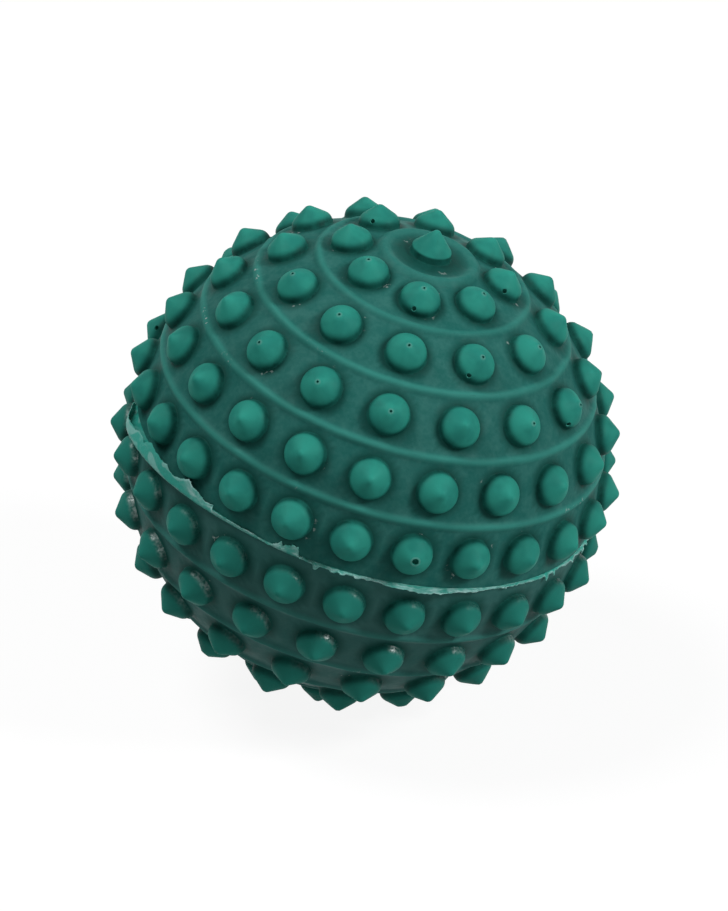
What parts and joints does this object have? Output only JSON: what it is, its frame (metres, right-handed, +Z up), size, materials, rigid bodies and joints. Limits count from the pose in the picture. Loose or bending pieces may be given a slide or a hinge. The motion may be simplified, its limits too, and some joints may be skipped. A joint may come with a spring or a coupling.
{
  "type": "massage ball",
  "caption": "Hollow rubber massage ball covered in rings of short pointed spikes with low ribs between them, for rolling under a hand or foot.",
  "frame": {"origin": "on the surface that the ball lies on, straight below the ball's centre", "axes": "+Z up from that surface; the mould axis through the two pole spikes leans from +Z towards +X by the angle at which the ball rests on three spikes; +Y completes the right-handed frame"},
  "size_m": [0.0742, 0.074, 0.075],
  "materials": {
    "green_rubber": "satin moulded rubber with a dull bloom between the spikes",
    "thin_rubber": "same rubber, paler where it is thin and torn",
    "gum_rubber": "matt natural gum"
  },
  "bodies": {
    "root": {"upper_half_shell": "green_rubber", "lower_half_shell": "green_rubber", "seam_flash": "thin_rubber", "sealing_plug": "gum_rubber"}
  },
  "joints": []
}
